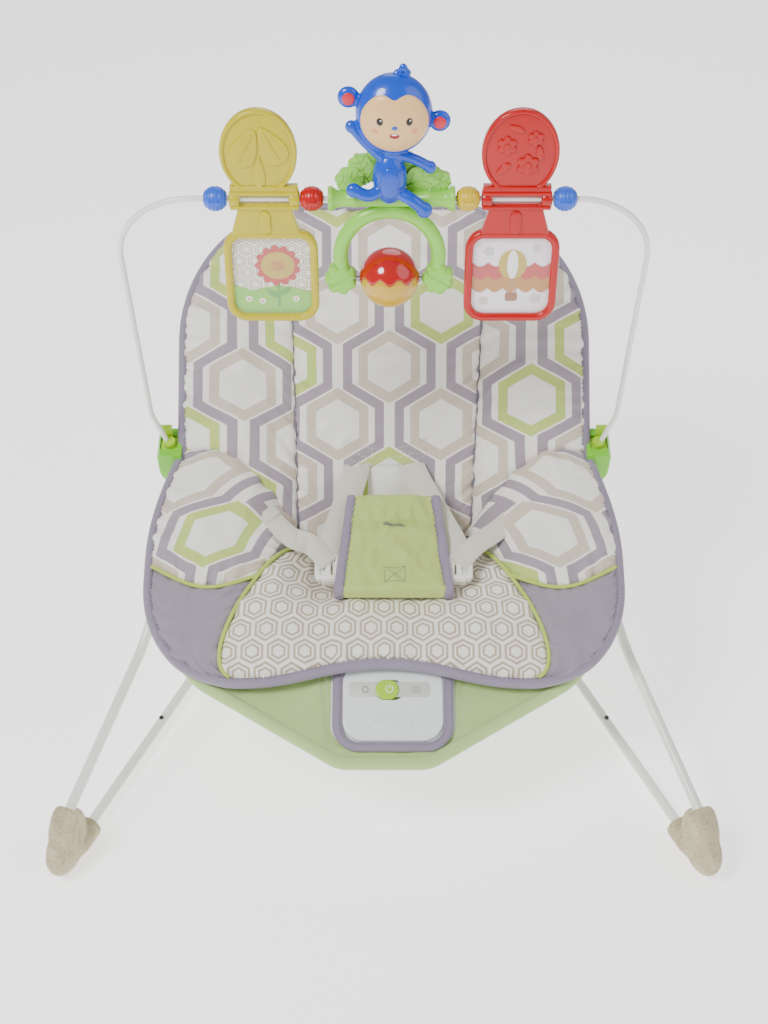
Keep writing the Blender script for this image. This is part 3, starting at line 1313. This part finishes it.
BUCKLE_UP = -26.0
for side, label in ((-1, "left"), (1, "right")):
    slot_u, slot_v = (-0.135, 0.37) if side < 0 else (0.145, 0.37)
    slot_at = back_point(slot_u, slot_v)
    slot_n = surface_normal(back_point, slot_u, slot_v)
    buckle = harness(side * 60, BUCKLE_UP + 4, 3)
    line = smooth_path([slot_at + slot_n * 7, slot_at + slot_n * 13 + Vector((side * 2, -12, -8)),
                        slot_at * 0.45 + buckle * 0.55 + Vector((0, 0, 2)),
                        buckle + HARNESS_UP * 14 + HARNESS_OUT * 2, buckle], 10)
    shares = [k / (len(line) - 1) for k in range(len(line))]
    up = [(slot_n * (1 - t) + HARNESS_OUT * t).normalized() for t in shares]
    strap = sweep("strap " + label, line, flat_section(25, 1.5), STRAP, twist=up)
    tail_end = Vector((BUCKLE_X + side * 113 + (-10 if side < 0 else 8), 12, 224))
    tail = smooth_path([buckle + HARNESS_OUT * 4, buckle * 0.72 + tail_end * 0.28 + Vector((0, 0, 6)),
                        buckle * 0.4 + tail_end * 0.6 + Vector((0, -2, 3 * side)), tail_end], 12)
    lean = Vector((0.55, -0.75, 0.35) if side < 0 else (-0.12, -0.6, 0.8)).normalized()
    lean = [lean] * len(tail)
    tail_piece = sweep("tail " + label, tail, flat_section(20, 1.5), STRAP, twist=lean)
    hem = sweep("tail hem " + label, tail[-5:], flat_section(20.4, 3.0), STRAP, twist=lean[-5:])
    strap = join("waist_strap_cloth_" + label, [strap, tail_piece, hem])
    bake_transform(strap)
    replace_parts(strap, "waist_strap_" + label)
    # ladder-lock frame that the strap threads through
    at = harness(side * 61, BUCKLE_UP + 1, 2.5)
    axes = Matrix((Vector((1, 0, 0)), HARNESS_UP, HARNESS_OUT)).transposed()
    place = Matrix.Translation(at * MM) @ axes.to_4x4()
    bars = [rounded(25, 25, 5), rounded(5, 16, 1.5, -5, 0), rounded(5, 16, 1.5, 5, 0)]
    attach(plate("buckle frame " + label, bars, 4.2, BUCKLE, place, 0.8, 0), "buckle_" + label)
    # stitched patch round the slot
    def patch(i, j, slot_u=slot_u, slot_v=slot_v):
        u, v = slot_u + (i - 0.5) * 0.15, slot_v + 0.012 + (j - 0.5) * 0.045
        return over_back(u, v)
    box_stitch("slot stitches " + label, patch, slot_n, THREAD_WHITE)
row_u = [-0.13 + 0.27 * k / 30 for k in range(31)]
line = [over_back(u, 0.365) for u in row_u]
up = [surface_normal(back_point, u, 0.365) for u in row_u]
for row in (0, 6):
    path = [p + n * 0.4 + UP_BACK * row for p, n in zip(line, up)]
    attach(stitches(f"slot row {row}", path, up, THREAD_WHITE, 2.0, 0.9, 0.4, 1.2), "seat")


# ---------------------------------------------------------------- soothing unit and sling front
UNIT_X = 8.0
UNIT = Matrix.Translation(Vector((UNIT_X, *on_seat(244.0))) * MM) @ Matrix.Rotation(SEAT_SLOPE, 4, "X")


def unit_point(x, y, out):
    return UNIT @ (Vector((x, y, out)) * MM) / MM


def sling_half_width(s):
    """Half-width of the sling's front, following the inside of the seat tube."""
    if s <= 228:
        return 196 + (172 - 196) * (s - 190) / 38
    return 172 + (46 - 172) * ((s - 228) / 72) ** 1.08


def seam_offset(b):
    """Distance of the sling's two seams from the middle of the unit."""
    return 68 - 12 * b


def held(inset):
    """0 outside the unit's opening, 1 from 8 mm inside it."""
    return max(0.0, min(1.0, inset / 8))


def sling_point(a, b, below=0.0):
    s = 190 + 110 * b
    across = 2 * a - 1
    x = across * sling_half_width(s)
    inside = held(58 - abs(x - UNIT_X)) * held(292 - s)
    sag = -3.5 * (1 - across ** 2) * sin(pi * b) * (1 - inside)
    folds = 2.6 * noise.noise(Vector(((x - copysign(0.9 * s, x)) / 22.0, s / 90.0, 9.0))) * (1 - inside)
    seam = -1.4 * bell(abs(x - UNIT_X) - seam_offset(b), 2.2)
    z = 2.4 + sag + folds + seam - 4.5 * inside - below
    y, height = on_seat(s, z)
    return Vector((x, y, height))


sling = slab("sling front", lambda a, b: sling_point(a, b), lambda a, b: sling_point(a, b, 1.2),
             lambda a, b: (sling_point(a, b).x, 110 * b), SLING, 130, 44)
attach(sling, "seat")
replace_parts(sling, "sling_front")
seat_normal = Vector((0, -sin(SEAT_SLOPE), cos(SEAT_SLOPE)))
for side in (-1, 1):
    for shift in (-3.2, 3.2):
        path = []
        for k in range(6, 40):
            b = k / 40
            x = UNIT_X + side * seam_offset(b) + shift
            path.append(sling_point(0.5 + 0.5 * x / sling_half_width(190 + 110 * b), b))
        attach(stitches(f"sling seam {side} {shift}", path, [seat_normal] * len(path),
                         THREAD_WHITE, 2.4, 1.3, 0.3), "seat")
opening = [unit_point(x, y - 5, 3.2) for x, y in rounded(100, 84, 20, count=10)]
dense = []
for k, p in enumerate(opening):
    q = opening[(k + 1) % len(opening)]
    steps = max(1, int((q - p).length / 4))
    dense += [p + (q - p) * m / steps for m in range(steps)]
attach(sweep("opening binding", dense, circle(2.0, 12, 2.3), BINDING, closed=True,
              twist=[seat_normal] * len(dense)), "seat")
inner = [p + (unit_point(0, -5, 3.2) - p).normalized() * 2.4 + seat_normal * 1.6 for p in dense]
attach(stitches("opening stitches", inner, [seat_normal] * len(inner), THREAD_GREY,
                 2.4, 1.3, 0.35), "seat")

details = [plate("printed_band", [rounded(74, 14, 4, -3, 6)], 0.25, UNIT_GREY, UNIT, 0.1, 3.7),
           plate("off_icon", [ellipse(3.2, 3.2, -25, 6), ellipse(2.2, 2.2, -25, 6)], 0.2,
                 ICON, UNIT, 0.05, 4.0),
           plate("blank_badge", [ellipse(18, 8.5, 0, -27)], 0.5, UNIT_WHITE, UNIT, 0.3, 3.9)]
for row in (-2.2, 0.0, 2.2):
    wave = [unit_point(17 + k * 0.45, 6 + row + 0.7 * sin(k * 0.75), 4.0) for k in range(20)]
    details.append(sweep("wave_icon", wave, circle(0.3, 6), ICON))
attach(join("unit_markings", details), "seat")
turns = [radians(125 + 290 * k / 40) for k in range(41)]
ring = [(-3 + 3.6 * cos(a), 5.7 + 3.6 * sin(a)) for a in turns]
ring += [(-3 + 2.8 * cos(a), 5.7 + 2.8 * sin(a)) for a in reversed(turns)]
knob = [plate("power_ring", [ring], 0.3, INK_WHITE, UNIT, 0.1, 7.0),
        plate("power_bar", [rounded(0.9, 4.2, 0.4, -3, 8.2)], 0.3, INK_WHITE, UNIT, 0.1, 7.0)]
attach(join("power_symbol", knob), "power_slider")


# ---------------------------------------------------------------- camera, floor and light
camera_data = bpy.data.cameras.new("camera")
camera_data.lens = 52.73
camera_data.sensor_width = 36.0
camera = bpy.data.objects.new("camera", camera_data)
camera.location = (0, -1.116, 1.104)
camera.rotation_euler = (radians(52), 0, 0)
bpy.context.scene.collection.objects.link(camera)
bpy.context.scene.camera = camera

floor_nodes = Nodes("floor")
floor_nodes.finish((0.9, 0.9, 0.9, 1), 0.9, Emission_Color=(1, 1, 1, 1), Emission_Strength=1.25)
bpy.ops.mesh.primitive_plane_add(size=12, location=(0, 0, CAD_BOX[0][2]))
floor = bpy.context.object
floor.name = "floor"
floor.data.materials.append(floor_nodes.material)


def area_light(name, place, aim, size, power, colour=(1, 1, 1)):
    data = bpy.data.lights.new(name, "AREA")
    data.shape, data.size, data.energy, data.color = "DISK", size, power, colour
    light = bpy.data.objects.new(name, data)
    light.location = place
    light.rotation_euler = (Vector(aim) - Vector(place)).to_track_quat("-Z", "Y").to_euler()
    bpy.context.scene.collection.objects.link(light)


area_light("key", (-1.1, -1.0, 2.0), (0, 0, 0.3), 0.8, 46)
area_light("fill", (1.5, -0.6, 1.5), (0, 0, 0.3), 1.8, 12)
area_light("back", (0.2, 1.8, 1.9), (0, 0, 0.4), 1.6, 12)
world = bpy.data.worlds.new("world")
world.use_nodes = True
world.node_tree.nodes["Background"].inputs[0].default_value = (1, 1, 1, 1)
world.node_tree.nodes["Background"].inputs[1].default_value = 0.5
bpy.context.scene.world = world
